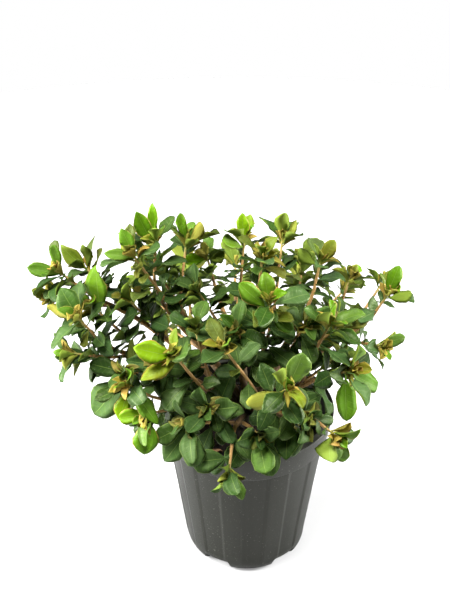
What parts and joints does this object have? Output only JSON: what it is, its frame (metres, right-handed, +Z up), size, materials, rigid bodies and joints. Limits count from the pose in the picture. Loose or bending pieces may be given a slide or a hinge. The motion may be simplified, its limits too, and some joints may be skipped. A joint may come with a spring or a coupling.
{
  "type": "potted indian hawthorn",
  "caption": "Small evergreen hawthorn shrub with leafy shoots on woody stems, growing in a fluted round nursery pot of potting mix.",
  "frame": {"origin": "middle of the pot's underside, on the surface that it stands on", "axes": "+Z up along the pot's axis, -Y towards the front of the picture, +X to the picture's right"},
  "size_m": [0.4223, 0.3388, 0.4397],
  "materials": {
    "pot_plastic": "satin charcoal moulded plastic with specks of dust",
    "potting_mix": "loose dark bark and peat mix, rough",
    "bark": "young brown bark, matt",
    "dry_leaf": "dry tan leaf",
    "dark_leaf": "leathery dark green leaf with a satin sheen",
    "lime_leaf": "glossy bright green young leaf",
    "bronze_leaf": "bronze green new leaf, satin"
  },
  "bodies": {
    "root": {"bark_chip_1": "bark", "bark_chip_2": "bark", "dry_leaf": "dry_leaf", "leafy_shoot_01": "bronze_leaf", "leafy_shoot_02": "lime_leaf", "leafy_shoot_03": "lime_leaf", "leafy_shoot_04": "dark_leaf", "leafy_shoot_05": "bronze_leaf", "leafy_shoot_06": "bronze_leaf", "leafy_shoot_07": "bronze_leaf", "leafy_shoot_08": "dark_leaf", "leafy_shoot_09": "lime_leaf", "leafy_shoot_10": "bronze_leaf", "leafy_shoot_11": "bronze_leaf", "leafy_shoot_12": "dark_leaf", "leafy_shoot_13": "lime_leaf", "leafy_shoot_14": "lime_leaf", "leafy_shoot_15": "dark_leaf", "leafy_shoot_16": "bronze_leaf", "leafy_shoot_17": "bronze_leaf", "leafy_shoot_18": "lime_leaf", "leafy_shoot_19": "dark_leaf", "leafy_shoot_20": "bronze_leaf", "leafy_shoot_21": "dark_leaf", "leafy_shoot_22": "dark_leaf", "leafy_shoot_23": "lime_leaf", "leafy_shoot_24": "lime_leaf", "leafy_shoot_25": "bronze_leaf", "leafy_shoot_26": "lime_leaf", "leafy_shoot_27": "bronze_leaf", "leafy_shoot_28": "lime_leaf", "leafy_shoot_29": "dark_leaf", "leafy_shoot_30": "lime_leaf", "leafy_shoot_31": "dark_leaf", "leafy_shoot_32": "lime_leaf", "leafy_shoot_33": "dark_leaf", "leafy_shoot_34": "dark_leaf", "leafy_shoot_35": "lime_leaf", "leafy_shoot_36": "lime_leaf", "leafy_shoot_37": "dark_leaf", "leafy_shoot_38": "lime_leaf", "leafy_shoot_39": "bronze_leaf", "leafy_shoot_40": "dark_leaf", "leafy_shoot_41": "dark_leaf", "leafy_shoot_42": "dark_leaf", "leafy_shoot_43": "dark_leaf", "leafy_shoot_44": "dark_leaf", "leafy_shoot_45": "lime_leaf", "leafy_shoot_46": "dark_leaf", "leafy_shoot_47": "lime_leaf", "leafy_shoot_48": "dark_leaf", "leafy_shoot_49": "dark_leaf", "leafy_shoot_50": "dark_leaf", "leafy_shoot_51": "lime_leaf", "leafy_shoot_52": "dark_leaf", "leafy_shoot_53": "dark_leaf", "leafy_shoot_54": "dark_leaf", "pot": "pot_plastic", "potting_mix": "potting_mix", "woody_stems": "bark"}
  },
  "joints": []
}
